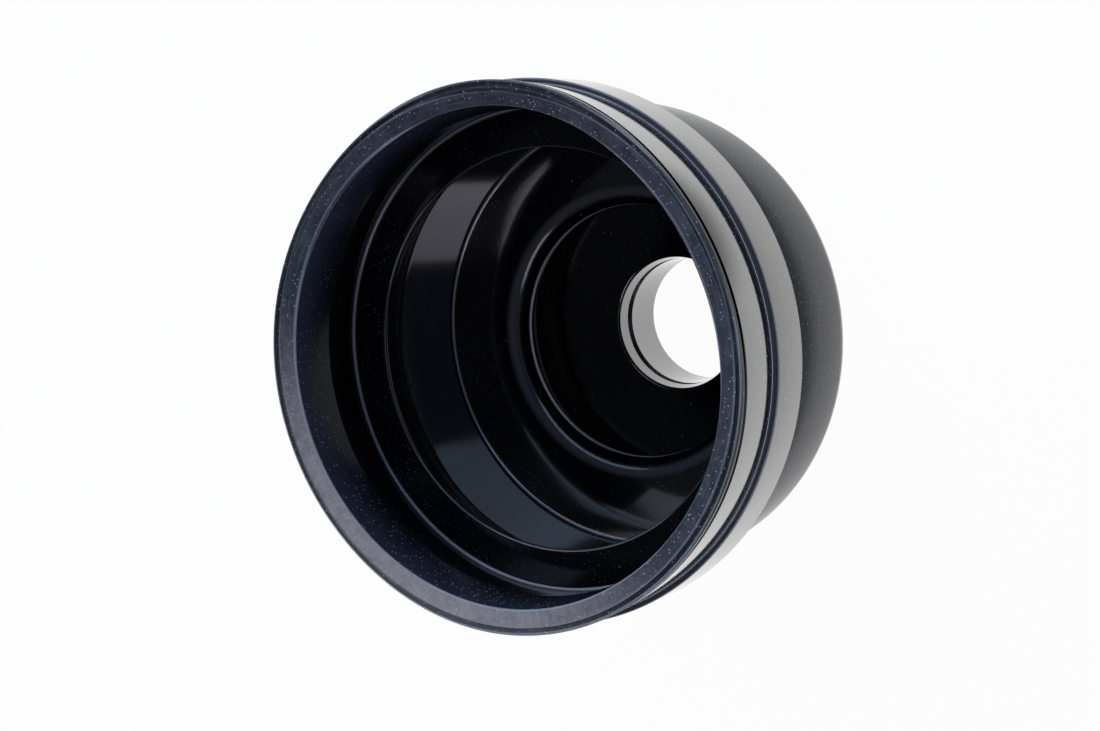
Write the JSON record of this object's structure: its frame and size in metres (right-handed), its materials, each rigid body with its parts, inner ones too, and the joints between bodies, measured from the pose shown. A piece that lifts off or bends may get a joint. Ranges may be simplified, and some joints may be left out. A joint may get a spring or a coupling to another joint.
{
  "type": "rubber bellows boot",
  "caption": "Moulded rubber bellows boot: wide mouth collar with clamp seat, large dome, second convolution and a narrow neck with a shaft bore.",
  "frame": {"origin": "centre of the small end's face", "axes": "+Z along the boot's axis, from the small end towards the mouth"},
  "size_m": [0.0908, 0.0908, 0.0825],
  "materials": {
    "moulded_rubber": "moulded black rubber, glossy on the folds, satin and dusty on the collar"
  },
  "bodies": {
    "root": {"bellows_boot": "moulded_rubber"}
  },
  "joints": []
}
